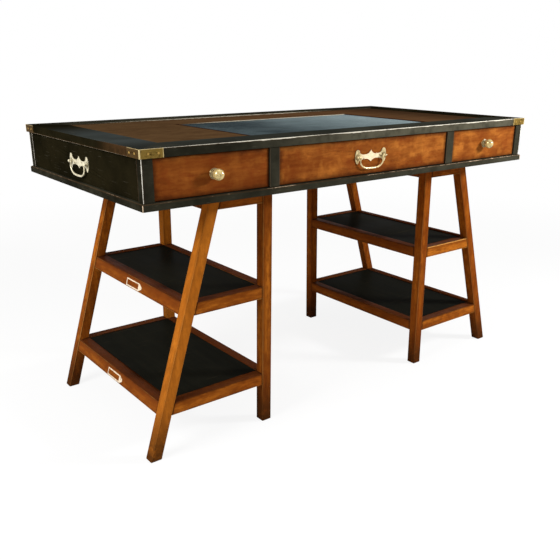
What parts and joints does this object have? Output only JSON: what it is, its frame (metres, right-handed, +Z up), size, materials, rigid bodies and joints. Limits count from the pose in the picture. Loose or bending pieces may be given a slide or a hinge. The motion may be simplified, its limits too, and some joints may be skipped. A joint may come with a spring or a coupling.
{
  "type": "campaign desk",
  "caption": "Black campaign desk with a leather-set top, brass corners, a row of drawers under it, end handles, and a pair of splayed shelved trestles.",
  "frame": {"origin": "on the floor, at the centre of the outline seen from above", "axes": "+X along the length to the right-hand end, +Y to the back, +Z up"},
  "size_m": [1.3596, 0.7172, 0.78],
  "materials": {
    "ebonised_wood": "black lacquer, satin, rubbed through along the edges",
    "field_wood": "dark brown stain, waxed",
    "honey_wood": "honey brown stain, waxed, dark at the edges",
    "carcase_wood": "plain drawer-lining timber",
    "black_panel": "satin black paint",
    "leather": "blue-black, bleached grey towards the right",
    "brass": "polished, pale",
    "antique_brass": "aged, with bright edges",
    "steel": "plain"
  },
  "bodies": {
    "desk": {"top_rail_front": "ebonised_wood", "top_rail_back": "ebonised_wood", "top_rail_left": "ebonised_wood", "top_rail_right": "ebonised_wood", "corner_posts": "ebonised_wood", "end_panel_left": "ebonised_wood", "end_panel_right": "ebonised_wood", "back_panel": "ebonised_wood", "divider_left": "ebonised_wood", "divider_right": "ebonised_wood", "plinth_mouldings": "ebonised_wood", "top_field": "field_wood", "writing_pad": "leather", "bottom_board": "carcase_wood", "drawer_guides": "carcase_wood", "corner_plates": "antique_brass", "corner_plate_screws": "antique_brass", "left_handle_plate": "brass", "left_handle_posts": "brass", "right_handle_plate": "brass", "right_handle_posts": "brass", "left_leg_raked_front": "honey_wood", "left_leg_raked_rear": "honey_wood", "left_leg_upright_front": "honey_wood", "left_leg_upright_rear": "honey_wood", "left_top_rails": "honey_wood", "left_upper_rails": "honey_wood", "left_lower_rails": "honey_wood", "left_upper_shelf": "black_panel", "left_lower_shelf": "black_panel", "left_label_frames": "brass", "right_leg_raked_front": "honey_wood", "right_leg_raked_rear": "honey_wood", "right_leg_upright_front": "honey_wood", "right_leg_upright_rear": "honey_wood", "right_top_rails": "honey_wood", "right_upper_rails": "honey_wood", "right_lower_rails": "honey_wood", "right_upper_shelf": "black_panel", "right_lower_shelf": "black_panel", "right_label_frames": "brass"},
    "drawer_left": {"drawer_left_front": "honey_wood", "drawer_left_box": "carcase_wood", "drawer_left_bottom": "carcase_wood", "knob_left": "brass", "knob_left_screw": "steel"},
    "drawer_centre": {"drawer_centre_front": "honey_wood", "drawer_centre_box": "carcase_wood", "drawer_centre_bottom": "carcase_wood", "centre_pull_plate": "brass", "centre_pull_posts": "brass"},
    "drawer_right": {"drawer_right_front": "honey_wood", "drawer_right_box": "carcase_wood", "drawer_right_bottom": "carcase_wood", "knob_right": "brass", "knob_right_screw": "steel"},
    "centre_bail": {"centre_pull_bail": "brass"},
    "left_bail": {"left_handle_bail": "brass"},
    "right_bail": {"right_handle_bail": "brass"}
  },
  "joints": [
    {"name": "drawer_left_slide", "type": "slide", "parent": "desk", "child": "drawer_left", "axis": [0, -1, 0], "range_m": [0, 0.38]},
    {"name": "drawer_centre_slide", "type": "slide", "parent": "desk", "child": "drawer_centre", "axis": [0, -1, 0], "range_m": [0, 0.38]},
    {"name": "drawer_right_slide", "type": "slide", "parent": "desk", "child": "drawer_right", "axis": [0, -1, 0], "range_m": [0, 0.38]},
    {"name": "centre_bail_swing", "type": "hinge", "parent": "drawer_centre", "child": "centre_bail", "pos_m": [0, -0.33465, 0.7125], "axis": [-1, 0, 0], "range_deg": [-6, 150]},
    {"name": "left_bail_swing", "type": "hinge", "parent": "desk", "child": "left_bail", "pos_m": [-0.676, 0.01035, 0.7125], "axis": [0, 1, 0], "range_deg": [-6, 150]},
    {"name": "right_bail_swing", "type": "hinge", "parent": "desk", "child": "right_bail", "pos_m": [0.676, 0.01035, 0.7125], "axis": [0, -1, 0], "range_deg": [-6, 150]}
  ]
}
